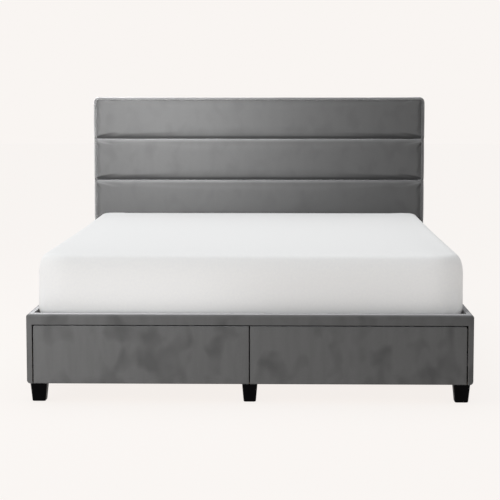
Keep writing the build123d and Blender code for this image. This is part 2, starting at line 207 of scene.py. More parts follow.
def planedPine():
    # planed pine: pale straw with darker growth lines 7 mm apart along the board, and a fine fibre
    material, shader, place = newMaterial("planedPine")
    along = addNode(material, "Mapping", {"Vector": place, "Scale": (0.08, 1.0, 1.0)})
    growth = {"Vector": along, "Scale": 314 / 7.0, "Distortion": 9.0, "Detail": 3.0, "Detail Scale": 1.2}
    rings = addNode(material, "TexWave", growth, output="Fac", bands_direction="DIAGONAL")
    drawn = addNode(material, "Mapping", {"Vector": place, "Scale": (0.03, 1.0, 1.0)})
    fibre = addNode(material, "TexNoise", {"Vector": drawn, "Scale": 1000 / 1.6, "Detail": 2.0})
    part = addNode(material, "Math", {0: fibre, 1: 0.35}, operation="MULTIPLY")
    share = addNode(material, "Math", {0: rings, 1: 0.65, 2: part}, operation="MULTIPLY_ADD")
    mixed = {0: share, 6: hexColour("#dcb887"), 7: hexColour("#b98a55")}
    setInputs(material, shader, {
        "Base Color": addNode(material, "Mix", mixed, output=2, data_type="RGBA"),
        "Normal": addNode(material, "Bump", {"Height": fibre, "Distance": 0.15 * mm, "Strength": 0.5}),
        "Roughness": 0.55,
    })
    return material


def birchPly():
    # sanded birch plywood: creamy, with a fine short grain and small brown flecks
    material, shader, place = newMaterial("birchPly")
    along = addNode(material, "Mapping", {"Vector": place, "Scale": (0.05, 1.0, 1.0)})
    fine = {"Vector": along, "Scale": 1000 / 3.2, "Detail": 4.0, "Roughness": 0.6, "Distortion": 0.4}
    grain = addNode(material, "TexNoise", fine)
    short = addNode(material, "Mapping", {"Vector": place, "Scale": (0.2, 1.0, 1.0)})
    spots = addNode(material, "TexNoise", {"Vector": short, "Scale": 1000 / 1.8, "Detail": 1.0})
    flecks = addNode(material, "MapRange", {0: spots, 1: 0.62, 2: 0.72, 3: 0.0, 4: 0.25})
    share = addNode(material, "MapRange", {0: grain, 1: 0.3, 2: 0.7})
    mixed = {0: share, 6: hexColour("#d9bd92"), 7: hexColour("#c6a273")}
    tone = addNode(material, "Mix", mixed, output=2, data_type="RGBA")
    flecked = {0: flecks, 6: tone, 7: hexColour("#8d6b45")}
    setInputs(material, shader, {
        "Base Color": addNode(material, "Mix", flecked, output=2, data_type="RGBA"),
        "Normal": addNode(material, "Bump", {"Height": grain, "Distance": 0.1 * mm, "Strength": 0.5}),
        "Roughness": 0.5,
    })
    return material


def hardboard():
    # pressed wood fibre sheet: brown and smooth, with short pale fibres
    material, shader, place = newMaterial("hardboard")
    short = {"Vector": place, "Scale": 1000 / 1.5, "Detail": 4.0, "Roughness": 0.7, "Distortion": 1.5}
    share = addNode(material, "MapRange", {0: addNode(material, "TexNoise", short), 1: 0.35, 2: 0.7})
    mixed = {0: share, 6: hexColour("#8a6440"), 7: hexColour("#a88058")}
    tone = addNode(material, "Mix", mixed, output=2, data_type="RGBA")
    setInputs(material, shader, {"Base Color": tone, "Roughness": 0.42})
    return material


def blackAbs():
    # moulded ABS with a fine spark texture: black, with a weak broad highlight and a little dust
    material, shader, place = newMaterial("blackAbs")
    spark = addNode(material, "TexNoise", {"Vector": place, "Scale": 1000 / 1.2, "Detail": 2.0})
    cloud = addNode(material, "TexNoise", {"Vector": place, "Scale": 1000 / 40, "Detail": 3.0})
    dust = addNode(material, "MapRange", {0: cloud, 1: 0.4, 2: 0.7})
    mixed = {0: dust, 6: hexColour("#020203"), 7: hexColour("#060608")}
    setInputs(material, shader, {
        "Base Color": addNode(material, "Mix", mixed, output=2, data_type="RGBA"),
        "Normal": addNode(material, "Bump", {"Height": spark, "Distance": 0.06 * mm, "Strength": 0.4}),
        "Roughness": addNode(material, "MapRange", {0: dust, 3: 0.38, 4: 0.5}),
        "Specular IOR Level": 0.04,
    })
    return material


def zincSteel():
    # zinc-plated rolled steel: bright blue-grey, with faint mill lines along its length
    material, shader, place = newMaterial("zincSteel")
    along = addNode(material, "Mapping", {"Vector": place, "Scale": (1.0, 0.04, 1.0)})
    lines = addNode(material, "TexNoise", {"Vector": along, "Scale": 1000 / 0.8, "Detail": 2.0})
    cloud = addNode(material, "TexNoise", {"Vector": place, "Scale": 1000 / 18, "Detail": 3.0})
    mixed = {0: cloud, 6: hexColour("#b9bcc0"), 7: hexColour("#cfd1d3")}
    setInputs(material, shader, {
        "Base Color": addNode(material, "Mix", mixed, output=2, data_type="RGBA"),
        "Normal": addNode(material, "Bump", {"Height": lines, "Distance": 0.03 * mm, "Strength": 0.5}),
        "Roughness": addNode(material, "MapRange", {0: lines, 1: 0.3, 2: 0.7, 3: 0.28, 4: 0.42}),
        "Metallic": 1.0,
    })
    return material


def powderCoat():
    # black powder coat on steel: satin, with orange peel 2 mm across
    material, shader, place = newMaterial("powderCoat")
    peel = addNode(material, "TexNoise", {"Vector": place, "Scale": 1000 / 1.8, "Detail": 1.0})
    cloud = addNode(material, "TexNoise", {"Vector": place, "Scale": 1000 / 25, "Detail": 2.0})
    mixed = {0: cloud, 6: hexColour("#141517"), 7: hexColour("#1a1b1d")}
    setInputs(material, shader, {
        "Base Color": addNode(material, "Mix", mixed, output=2, data_type="RGBA"),
        "Normal": addNode(material, "Bump", {"Height": peel, "Distance": 0.08 * mm, "Strength": 0.5}),
        "Roughness": addNode(material, "MapRange", {0: cloud, 1: 0.3, 2: 0.7, 3: 0.4, 4: 0.55}),
    })
    return material


def spunLining():
    # spun-bonded polypropylene dust cover: thin, matt black, with pressed dots 3 mm apart
    material, shader, place = newMaterial("spunLining")
    dots = addNode(material, "TexVoronoi", {"Vector": place, "Scale": 1000 / 3.0, "Randomness": 0.1})
    pressed = addNode(material, "MapRange", {0: dots, 1: 0.2, 2: 0.4})
    cloud = addNode(material, "TexNoise", {"Vector": place, "Scale": 1000 / 60, "Detail": 4.0})
    share = addNode(material, "MapRange", {0: cloud, 1: 0.35, 2: 0.7})
    mixed = {0: share, 6: hexColour("#1c1c1e"), 7: hexColour("#29292b")}
    tone = addNode(material, "Mix", mixed, output=2, data_type="RGBA")
    dotted = {0: pressed, 6: hexColour("#121213"), 7: tone}
    setInputs(material, shader, {
        "Base Color": addNode(material, "Mix", dotted, output=2, data_type="RGBA"),
        "Normal": addNode(material, "Bump", {"Height": pressed, "Distance": 0.1 * mm, "Strength": 0.6}),
        "Roughness": 0.85,
    })
    return material


def webbing():
    # woven polypropylene strap: cream, with a clear over-and-under weave of 2.5 mm tapes
    material, shader, place = newMaterial("webbing")
    threads = {"Vector": place, "Scale": 314 / 2.5}
    across = addNode(material, "TexWave", threads, output="Fac", bands_direction="X")
    along = addNode(material, "TexWave", threads, output="Fac", bands_direction="Y")
    weave = addNode(material, "Math", {0: across, 1: along}, operation="MULTIPLY")
    mixed = {0: weave, 6: hexColour("#a9a496"), 7: hexColour("#d6d2c4")}
    setInputs(material, shader, {
        "Base Color": addNode(material, "Mix", mixed, output=2, data_type="RGBA"),
        "Normal": addNode(material, "Bump", {"Height": weave, "Distance": 0.3 * mm, "Strength": 0.6}),
        "Roughness": 0.7,
    })
    return material


# one velvet in three copies: depth makes the headboard's copy darker and the drawers' lighter than the
# rails', a painted light and shade that evens out how the lamps fall on each piece
padVelvet = velvet("padVelvet", 0.35, 0.68, 0.12)
railVelvet = velvet("railVelvet", 1.0, 0.93, 0.45)
drawerVelvet = velvet("drawerVelvet", 1.0, 1.02, 0.45)
ticking = knitTicking()
steel = zincSteel()
lining = spunLining()
darkShadeTape = paintedShadeTape()
strapWeave = webbing()
nodeMaterials = {
    "pine": planedPine(), "plywood": birchPly(), "hardboard": hardboard(), "black_leg_plastic": blackAbs(),
    "black_steel": powderCoat(), "zinc_steel": steel, "channel_velvet": padVelvet,
    "rail_velvet": railVelvet, "mattress_knit": ticking, "nonwoven_lining": lining, "webbing": strapWeave,
}
print("materials made")

for part in frame["record"]["subparts"]:
    mesh = nodes[part["node"]].data
    mesh.materials.clear()
    mesh.materials.append(nodeMaterials[part["material_slot"]])
print("CAD parts given their materials")


def objectOf(name, mesh, material):
    mesh.materials.append(material)
    made = bpy.data.objects.new(name, mesh)
    scene.collection.objects.link(made)
    return made


def meshOf(name, build):
    build.normal_update()
    mesh = bpy.data.meshes.new(name)
    build.to_mesh(mesh)
    build.free()
    return mesh


def applyModifiers(made):
    graph = bpy.context.evaluated_depsgraph_get()
    graph.update()
    result = bpy.data.meshes.new_from_object(made.evaluated_get(graph))
    made.modifiers.clear()
    made.data = result


def smooth(made, degrees=40):
    for face in made.data.polygons:
        face.use_smooth = True
    made.data.set_sharp_from_angle(angle=math.radians(degrees))


def keepFlats(made):  # flat faces stay flat beside their rounded edges
    modifier = made.modifiers.new("flats", "WEIGHTED_NORMAL")
    modifier.keep_sharp = True


def finishPiece(made, body, slotName, *replaced):
    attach(made, body)
    if replaced:
        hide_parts(*replaced)


def blockMesh(low, high):
    build = bmesh.new()
    bmesh.ops.create_cube(build, size=1.0)
    size = [b - a for a, b in zip(low, high)]
    for vert in build.verts:
        vert.co = Vector([a + (c + 0.5) * s for a, c, s in zip(low, vert.co, size)])
    return build


def block(name, low, high, material):
    return objectOf(name, meshOf(name, blockMesh(low, high)), material)


def cutAway(made, low, high):  # takes a block out of a piece
    cutter = block("cutter", low, high, made.data.materials[0])
    modifier = made.modifiers.new("cut", "BOOLEAN")
    modifier.operation = "DIFFERENCE"
    modifier.solver = "EXACT"
    modifier.object = cutter
    applyModifiers(made)
    bpy.data.objects.remove(cutter)


def bevelEdges(made, chosen, radius, steps):
    build = bmesh.new()
    build.from_mesh(made.data)
    edges = [e for e in build.edges if len(e.link_faces) == 2 and chosen(e)]
    bmesh.ops.bevel(
        build, geom=edges, offset=radius, segments=steps, profile=0.5, affect="EDGES", clamp_overlap=True
    )
    build.to_mesh(made.data)
    build.free()


def splitAt(made, y):  # cuts every face at one depth, so that two materials can meet there
    build = bmesh.new()
    build.from_mesh(made.data)
    geometry = build.verts[:] + build.edges[:] + build.faces[:]
    bmesh.ops.bisect_plane(build, geom=geometry, plane_co=(0, y, 0), plane_no=(0, 1, 0))
    build.to_mesh(made.data)
    build.free()


def paintShadeOnFaces(made, chosen):  # the chosen faces get the black tape, a painted shade, as the piece's second material
    made.data.materials.append(darkShadeTape)
    for face in made.data.polygons:
        if chosen(face.center, face.normal):
            face.material_index = 1


def isSharp(edge):
    return edge.calc_face_angle(0.0) > math.radians(35)


def roundedOutline(low, high, radii, inset, arcSteps=6, spacing=0.03):
    # points round a rectangle drawn in by inset; the four corner radii start at high first, low second
    x0, x1 = low[0] + inset, high[0] - inset
    y0, y1 = low[1] + inset, high[1] - inset
    a, b, c, d = [max(value - inset, 0.0005) for value in radii]
    points = []
    for centreX, centreY, r, start in (
        (x1 - a, y0 + a, a, -90), (x1 - b, y1 - b, b, 0), (x0 + c, y1 - c, c, 90), (x0 + d, y0 + d, d, 180),
    ):
        for i in range(arcSteps + 1):
            angle = math.radians(start + 90 * i / arcSteps)
            points.append((centreX + r * math.cos(angle), centreY + r * math.sin(angle)))
    result = []
    for i, first in enumerate(points):  # long straight stretches are divided, always into the same number
        second = points[(i + 1) % len(points)]
        result.append(first)
        if i % (arcSteps + 1) == arcSteps:
            side = (high[1] - low[1]) if (i // (arcSteps + 1)) % 2 == 0 else (high[0] - low[0])
            count = max(int(side / spacing), 1)
            for k in range(1, count):
                result.append([p + (q - p) * (k / count) for p, q in zip(first, second)])
    return result


def lofted(name, outlines, material):  # a skin over a row of outlines, closed at both ends
    build = bmesh.new()
    rings = [[build.verts.new(spot) for spot in outline] for outline in outlines]
    for lower, upper in zip(rings, rings[1:]):
        for i in range(len(lower)):
            k = (i + 1) % len(lower)
            build.faces.new((lower[i], lower[k], upper[k], upper[i]))
    build.faces.new(rings[0])
    build.faces.new(rings[-1])
    bmesh.ops.recalc_face_normals(build, faces=build.faces)
    return objectOf(name, meshOf(name, build), material)


def softSlab(name, low, high, axis, radii, edgeLow, edgeHigh, material, tall=1.0, crown=None):
    # a slab whose outline has round corners, and whose faces at the two ends of axis have round edges; tall
    # stretches the upper rounding along axis, and crown is the width and depth of the low face's fall
    first, second = [i for i in range(3) if i != axis]
    corners = ((low[first], low[second]), (high[first], high[second]))
    start = low[axis] + (crown[1] if crown else 0.0)
    levels = [((start + high[axis]) / 2, 0.0)]
    steps = 6
    for i in range(steps + 1):
        angle = math.radians(90 * i / steps)
        if edgeLow > 0:
            levels.append((start + edgeLow * (1 - math.sin(angle)), edgeLow * (1 - math.cos(angle))))
        if edgeHigh > 0:
            drop = edgeHigh * tall * (1 - math.sin(angle))
            levels.append((high[axis] - drop, edgeHigh * (1 - math.cos(angle))))
    if edgeLow <= 0:
        levels.append((start, 0.0))
    if edgeHigh <= 0:
        levels.append((high[axis], 0.0))
    if crown:
        for i in range(1, steps + 1):
            levels.append((start - crown[1] * (1 - (1 - i / steps) ** 2), edgeLow + crown[0] * i / steps))
    outlines = []
    for place, inset in sorted(set((round(a, 6), round(b, 6)) for a, b in levels)):
        outline = []
        for a, b in roundedOutline(*corners, radii, inset):
            spot = [0.0, 0.0, 0.0]
            spot[axis], spot[first], spot[second] = place, a, b
            outline.append(spot)
        outlines.append(outline)
    return lofted(name, outlines, material)


def remesh(made, voxel):
    modifier = made.modifiers.new("voxels", "REMESH")
    modifier.mode = "VOXEL"
    modifier.voxel_size = voxel
    modifier.use_smooth_shade = True
    applyModifiers(made)


def inflate(made, pressure, cap, held):
    # the cover fills out under pressure like a stuffed one; no point moves further than cap
    rest = [v.co.copy() for v in made.data.vertices]
    group = made.vertex_groups.new(name="held")
    group.add([i for i, co in enumerate(rest) if held(co)], 1.0, "REPLACE")
    modifier = made.modifiers.new("cloth", "CLOTH")
    cloth = modifier.settings
    cloth.quality = 5
    cloth.mass = 0.3
    cloth.tension_stiffness = 12
    cloth.compression_stiffness = 12
    cloth.shear_stiffness = 5
    cloth.bending_stiffness = 0.8
    cloth.use_pressure = True
    cloth.uniform_pressure_force = pressure
    cloth.vertex_group_mass = "held"
    cloth.effector_weights.gravity = 0.0
    lastFrame = 20
    modifier.point_cache.frame_end = lastFrame
    for count in range(1, lastFrame + 1):
        scene.frame_set(count)
    graph = bpy.context.evaluated_depsgraph_get()
    moved = [v.co.copy() for v in made.evaluated_get(graph).data.vertices]
    made.modifiers.clear()
    for vert, before, after in zip(made.data.vertices, rest, moved):
        step = after - before
        vert.co = before + step * min(1.0, cap / max(step.length, 1e-9))
    made.vertex_groups.clear()
    scene.frame_set(1)


def fitToBox(made, low, high):  # stretches the mesh so that it fills a box exactly
    places = [v.co for v in made.data.vertices]
    for axis in range(3):
        least, most = min(co[axis] for co in places), max(co[axis] for co in places)
        scale = (high[axis] - low[axis]) / (most - least)
        for co in places:
            co[axis] = low[axis] + (co[axis] - least) * scale


def eased(value, start, end):  # 0 before start, 1 after end, smooth between
    share = min(max((value - start) / (end - start), 0.0), 1.0)
    return share * share * (3 - 2 * share)


def evenly(start, end, step):  # places from start to end, about one step apart
    count = max(int(round((end - start) / step)), 1)
    return [start + (end - start) * i / count for i in range(count + 1)]


def thicken(made, thickness):  # cloth with its outer face where it is, and its thickness behind that
    modifier = made.modifiers.new("thickness", "SOLIDIFY")
    modifier.thickness = thickness
    modifier.offset = -1
    applyModifiers(made)


def subdivide(made):
    modifier = made.modifiers.new("finer", "SUBSURF")
    modifier.levels = 1
    modifier.render_levels = 1


padShape = {
    "edgeRadius": 11 * mm, "cornerRadius": 6 * mm, "topCornerRadius": 23 * mm, "voxel": 6.5 * mm,
    "lowerTuck": 11 * mm, "tuckHeight": 32 * mm, "pressure": 4.0, "cap": 4 * mm, "proud": 5 * mm,
    "ripple": 0.8 * mm, "rippleSize": 0.075, "endWidth": 26 * mm, "endDrop": 7 * mm, "topProud": 5 * mm,
    "frontRoom": 3 * mm, "backHeld": 4 * mm, "seamReach": 9 * mm, "seamFrom": 12 * mm, "seamTo": 20 * mm,
}


def padModel(low, high, upperRadius):
    # a channel before it is filled, and then filled by cloth simulation with its back held flat
    shape = padShape
    radii = (shape["cornerRadius"], upperRadius, upperRadius, shape["cornerRadius"])
    start = low + Vector((0, shape["frontRoom"], 0))
    model = softSlab("padModel", start, high, 1, radii, shape["edgeRadius"], 0.0, padVelvet)
    remesh(model, shape["voxel"])
    backFace = high.y - shape["backHeld"]
    inflate(model, shape["pressure"], shape["cap"], lambda co: co.y > backFace)
    swell = Vector((shape["proud"], 0, 0))
    fitToBox(model, low - swell, high + swell)
    return model


def makePads():
    shape = padShape
    pads = [name for name in nodes if name.startswith("headboard_channel_")]
    pads.sort(key=lambda name: -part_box(name)[1].z)
    low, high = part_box(pads[0])
    models = [padModel(low, high, shape["topCornerRadius"]), padModel(low, high, shape["cornerRadius"])]
    for index, node in enumerate(pads):
        padLow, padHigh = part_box(node)
        mesh = models[min(index, 1)].data.copy()
        mesh.materials.clear()
        edge = padHigh.x + shape["proud"]
        top = padHigh.z + (shape["topProud"] if index == 0 else 0.0)
        fit = (top - padLow.z) / (high.z - low.z)
        shift = Vector((0, 0, 37.0 * index))  # so that no two pads ripple alike
        for vert in mesh.vertices:
            co = vert.co.copy()
            depth = eased(padHigh.y - co.y, 3 * mm, padHigh.y - padLow.y)
            wave = noise.noise(co / shape["rippleSize"] + shift) * shape["ripple"] * depth
            ending = max(1 - (edge - abs(co.x)) / shape["endWidth"], 0.0) ** 2 * shape["endDrop"] * depth
            tuck = max(1 - (co.z - low.z) / shape["tuckHeight"], 0.0) ** 2.5 * shape["lowerTuck"] * depth
            tuck *= 1 - 0.8 * eased(abs(co.x), edge - 45 * mm, edge - 8 * mm)
            # the backs of two channels meet in the seam
            back = eased(co.y, padLow.y + shape["seamFrom"], padLow.y + shape["seamTo"])
            if high.z - co.z < shape["seamReach"] and index > 0:
                co.z += (high.z - co.z) * back
            elif co.z - low.z < shape["seamReach"]:
                co.z -= (co.z - low.z) * back
            vert.co = (
                min(max(co.x, -edge), edge),
                max(min(co.y + wave + tuck + ending, padHigh.y), padLow.y),
                padLow.z + (co.z - low.z) * fit,
            )
        pad = objectOf(f"headboardPad{index + 1}", mesh, padVelvet)
        smooth(pad, 60)
        subdivide(pad)
        finishPiece(pad, "frame", "channel_velvet", node)
    for model in models:
        bpy.data.objects.remove(model)


weltShape = {
    "radius": 3.5 * mm, "inset": 14 * mm, "corner": 16 * mm, "proud": 0.3 * mm, "sides": 10,
    "lowerGap": 4 * mm, "pointEvery": 30 * mm, "cornerSteps": 8,
}


def makeWelt():
    # the piped welt that runs up one end of the headboard, along its top and down the other end
    shape = weltShape
    low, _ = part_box("headboard_channel_4")
    front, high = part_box("headboard_channel_1")
    x = high.x + padShape["proud"] - shape["inset"]
    top = high.z + padShape["topProud"] - shape["inset"]
    corner, radius = shape["corner"], shape["radius"]
    y = front.y - shape["proud"] + radius
    path = [Vector((-x, y, z)) for z in evenly(low.z + shape["lowerGap"], top - corner, shape["pointEvery"])]
    for i in range(1, shape["cornerSteps"]):
        angle = math.radians(90 * i / shape["cornerSteps"])
        turn = Vector((-x + corner - corner * math.cos(angle), y, top - corner + corner * math.sin(angle)))
        path.append(turn)
    path += [Vector((a, y, top)) for a in evenly(-x + corner, 0.0, shape["pointEvery"])]
    path += [Vector((-point.x, y, point.z)) for point in reversed(path[:-1])]
    inward = Vector((0, 1, 0))
    turns = [2 * math.pi * k / shape["sides"] for k in range(shape["sides"])]
    outlines = []
    for i, point in enumerate(path):
        along = (path[min(i + 1, len(path) - 1)] - path[max(i - 1, 0)]).normalized()
        side = along.cross(inward)
        outlines.append([point + (side * math.cos(a) + inward * math.sin(a)) * radius for a in turns])
    welt = lofted("headboardWelt", outlines, padVelvet)
    smooth(welt, 60)
    finishPiece(welt, "frame", "channel_velvet")


wrapShape = {"cornerRadius": 15 * mm, "edgeRadius": 4 * mm, "steps": 5}


def makeHeadboardWrap():
    # the velvet that goes round the headboard's sides and top, over the edges of its frame
    shape = wrapShape
    sideLow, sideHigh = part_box("headboard_side_wrap_left")
    topLow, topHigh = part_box("headboard_top_wrap")
    y0, y1 = topLow.y, topHigh.y
    wrap = block("headboardWrap", (sideLow.x, y0, sideLow.z), (-sideLow.x, y1, topHigh.z), padVelvet)
    top, left = topHigh.z, sideLow.x
    bevelEdges(
        wrap,
        lambda e: all(abs(v.co.z - top) < tiny for v in e.verts)
        and abs(abs(e.verts[0].co.x) - abs(left)) < tiny and abs(e.verts[0].co.x - e.verts[1].co.x) < tiny,
        shape["cornerRadius"], 8,
    )
    bevelEdges(
        wrap, lambda e: isSharp(e) and min(v.co.z for v in e.verts) > sideLow.z + 1e-4,
        shape["edgeRadius"], shape["steps"],
    )
    past = 0.01  # a cutter reaches past the faces it goes through
    cutAway(wrap, (sideHigh.x, y0 - past, sideLow.z - past), (-sideHigh.x, y1 + past, topLow.z))
    smooth(wrap, 50)
    keepFlats(wrap)
    finishPiece(
        wrap, "frame", "channel_velvet",
        "headboard_side_wrap_left", "headboard_side_wrap_right", "headboard_top_wrap",
    )


basePadRadius = 3 * mm


def makeBasePad():
    # the plain pad below the channels, behind the side rails' ends
    low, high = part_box("headboard_base_pad")
    pad = softSlab("headboardBasePad", low, high, 1, (basePadRadius,) * 4, basePadRadius, 0.0, padVelvet)
    smooth(pad, 60)
    keepFlats(pad)
    finishPiece(pad, "frame", "channel_velvet", "headboard_base_pad")


stapleShape = {"width": 11 * mm, "wire": 1.0 * mm, "every": 45 * mm, "pair": 6 * mm}


def stapleMesh(build, centre, along, out):
    # one staple: its crown stands a little proud of the cloth and its legs go in
    side = along.cross(out)
    half, wire = stapleShape["width"] / 2, stapleShape["wire"]
    for a, b, foot in ((-half, half, 0.0), (-half, -half + wire, -2 * wire), (half - wire, half, -2 * wire)):
        corners = [
            centre + along * x + side * y + out * z
            for z in (foot, wire * 0.9) for y in (-wire / 2, wire / 2) for x in (a, b)
        ]
        verts = [build.verts.new(c) for c in corners]
        for quad in ((0, 1, 3, 2), (4, 6, 7, 5), (0, 4, 5, 1), (2, 3, 7, 6), (0, 2, 6, 4), (1, 5, 7, 3)):
            build.faces.new([verts[i] for i in quad])


def finishStaples(name, build):
    bmesh.ops.recalc_face_normals(build, faces=build.faces)
    finishPiece(objectOf(name, meshOf(name, build), steel), "frame", "zinc_steel")


liningShape = {
    "hem": 12 * mm, "thickness": 1.2 * mm, "columns": 64, "rows": 44, "hemStep": 0.8 * mm,
    "slack": 0.7, "slackRim": 0.1, "stapleInset": 0.55,
}


def makeLining():
    # the dust cover on the headboard's back, with a folded hem and a row of staples all round
    shape = liningShape
    low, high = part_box("headboard_back")
    build = bmesh.new()
    columns, rows = shape["columns"], shape["rows"]
    grid = {}
    for i in range(columns + 1):
        for k in range(rows + 1):
            x = low.x + (high.x - low.x) * i / columns
            z = low.z + (high.z - low.z) * k / rows
            rim = min(x - low.x, high.x - x, z - low.z, high.z - z)
            slack = noise.noise(Vector((x, 0, z)) * 5) * 0.6 + noise.noise(Vector((x, 7, z)) * 16) * 0.25
            inside = min(max((rim - shape["hem"]) / shape["slackRim"], 0.0), 1.0)
            step = 0.0 if rim < shape["hem"] else shape["hemStep"]
            y = high.y - step + slack * mm * inside * shape["slack"]
            grid[i, k] = build.verts.new((x, min(y, high.y), z))
    for i in range(columns):
        for k in range(rows):
            build.faces.new((grid[i, k], grid[i, k + 1], grid[i + 1, k + 1], grid[i + 1, k]))
    cover = objectOf("backLining", meshOf("backLining", build), lining)
    thicken(cover, shape["thickness"])
    smooth(cover, 60)
    finishPiece(cover, "frame", "nonwoven_lining", "headboard_back")
    build = bmesh.new()
    inset = shape["hem"] * shape["stapleInset"]
    out = Vector((0, 1, 0))
    for x in evenly(low.x + inset, high.x - inset, stapleShape["every"]):
        for z in (low.z + inset, high.z - inset):
            stapleMesh(build, Vector((x, high.y, z)), Vector((1, 0, 0)), out)
    for z in evenly(low.z + inset, high.z - inset, stapleShape["every"])[1:-1]:
        for x in (low.x + inset, high.x - inset):
            stapleMesh(build, Vector((x, high.y, z)), Vector((0, 0, 1)), out)
    finishStaples("liningStaples", build)


railShape = {
    "lowerRadius": 13 * mm, "topRadius": 9.5 * mm, "edgeRadius": 3.5 * mm, "innerCorner": 12 * mm,
    "innerRadius": 1.8 * mm, "lipHeight": 58 * mm, "slack": 0.1 * mm,
}


def makeRailCover():
    # one velvet skin over both side rails and the foot rail, with no seam at the corners
    shape = railShape
    sideLow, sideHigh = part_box("side_rail_cover_right")
    footLow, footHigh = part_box("foot_rail_cover")
    boardLow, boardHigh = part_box("side_rail_right")
    barLow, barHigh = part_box("foot_rail")
    y0, y1, top = sideLow.y, sideHigh.y, sideHigh.z
    lipLow = top - shape["lipHeight"]
    skin = block("railCover", (-sideHigh.x, y0, sideLow.z), (sideHigh.x, y1, top), railVelvet)
    past = 0.1  # a cutter reaches past the faces it goes through
    cutAway(skin, (-sideLow.x, footHigh.y, lipLow), (sideLow.x, y1 + past, top + past))
    cutAway(skin, (-boardLow.x, y0 - past, sideLow.z - past), (boardLow.x, y1 + past, lipLow))
    cutAway(skin, (-boardLow.x, y0 - past, lipLow - past / 10), (boardLow.x, footHigh.y, footLow.z))

    def onFront(e):
        return all(v.co.y < y0 + tiny for v in e.verts)

    def onTop(e):
        return all(v.co.z > top - tiny for v in e.verts)

    bevelEdges(
        skin,
        lambda e: abs(e.verts[0].co.y - e.verts[1].co.y) > 1.0
        and all(abs(v.co.x) > sideHigh.x - tiny and v.co.z < sideLow.z + tiny for v in e.verts),
        shape["lowerRadius"], 8,
    )
    bevelEdges(
        skin,
        lambda e: abs(e.verts[0].co.y - e.verts[1].co.y) < 0.1
        and all(abs(abs(v.co.x) - boardLow.x) < tiny and abs(v.co.z - footLow.z) < tiny for v in e.verts),
        shape["innerCorner"], 6,
    )
    bevelEdges(
        skin,
        lambda e: isSharp(e) and onTop(e)
        and (onFront(e) or all(abs(v.co.x) > sideHigh.x - tiny for v in e.verts)),
        shape["topRadius"], 6,
    )
    bevelEdges(skin, lambda e: isSharp(e) and onFront(e), shape["edgeRadius"], 5)
    bevelEdges(
        skin, lambda e: isSharp(e) and onTop(e) and not all(v.co.y > y1 - 1e-4 for v in e.verts),
        shape["innerRadius"], 3,
    )
    slack = shape["slack"]
    for side in (-1, 1):
        inner, outer = side * (boardLow.x - slack), side * boardHigh.x
        cutAway(
            skin, (min(inner, outer), boardLow.y, boardLow.z), (max(inner, outer), y1 + past, boardHigh.z)
        )
    cutAway(skin, (-boardLow.x - slack, barLow.y, barLow.z), (boardLow.x + slack, barHigh.y, barHigh.z))
    # the foot rail's underside inside the gap gets the black tape as painted shade
    inGap = y0 + 1.2 * shape["edgeRadius"]
    paintShadeOnFaces(
        skin, lambda centre, normal: inGap < centre.y < footHigh.y and normal.z < -0.9
        and abs(centre.z - footLow.z) < 1e-3,
    )
    smooth(skin, 50)
    keepFlats(skin)
    covers = ("side_rail_cover_left", "side_rail_cover_right", "foot_rail_cover")
    finishPiece(skin, "frame", "rail_velvet", *covers)


gapShadeShape = {
    "front": 0.9 * mm, "back": 0.1 * mm, "thickness": 0.7 * mm, "clear": 1 * mm, "hang": 18 * mm,
    "ending": 18.5 * mm, "railEdge": 3.5 * mm, "fold": 25 * mm, "reach": 16 * mm, "bevel": 0.15 * mm,
}


def makeGapShade():
    # black tape strips that paint shade into the gaps round the drawer fronts, which are dark only from
    # shade:
    # on the divider's edge, hanging from the foot rail, and folded over the inner faces of the side boards
    shape = gapShadeShape
    thin, clear, fold = shape["thickness"], shape["clear"], shape["fold"]
    low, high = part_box("drawer_divider")
    railLow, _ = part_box("foot_rail_cover")
    bottomLow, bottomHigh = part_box("bottom_rail_front")
    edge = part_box("side_rail_right")[0].x
    y0, y1 = bottomLow.y - shape["front"], bottomLow.y - shape["back"]
    yEdge, z0, z1 = railLow.y + shape["railEdge"], bottomLow.z + clear, bottomHigh.z - clear
    strips = [
        ((low.x, y0, z0), (high.x, y1, railLow.z - shape["ending"])),
        ((-edge + clear, y0, railLow.z - shape["hang"]), (edge - clear, y1, railLow.z)),
        ((-edge, yEdge, z0), (-edge + thin, y1, railLow.z - clear)),
        ((edge - thin, yEdge, z0), (edge, y1, railLow.z - clear)),
        ((-edge + clear, y0, z0), (-edge + fold, y1, z1)),
        ((edge - fold, y0, z0), (edge - clear, y1, z1)),
    ]
    slideLow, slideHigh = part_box("drawer_right_slides_frame")
    for x in (-edge, edge - thin):  # above and below the slides the fold reaches further in
        for start, end in (
            (bottomHigh.z + clear / 2, slideLow.z - clear), (slideHigh.z + clear, railLow.z - clear),
        ):
            strips.append(((x, y1, start), (x + thin, y1 + shape["reach"], end)))
    build = bmesh.new()
    for stripLow, stripHigh in strips:
        part = blockMesh(stripLow, stripHigh)
        bmesh.ops.bevel(part, geom=part.edges[:], offset=shape["bevel"], segments=1, affect="EDGES")
        mesh = meshOf("strip", part)
        build.from_mesh(mesh)
        bpy.data.meshes.remove(mesh)
    darkStrips = objectOf("gapTape", meshOf("gapTape", build), darkShadeTape)
    smooth(darkStrips, 50)
    finishPiece(darkStrips, "frame", "nonwoven_lining")


frontShape = {
    "edgeRadius": 3.5 * mm, "outerCorner": 8 * mm, "innerCorner": 1 * mm, "crownWidth": 26 * mm,
    "crownDepth": 2.2 * mm, "shadeFrom": 2 * mm,
}


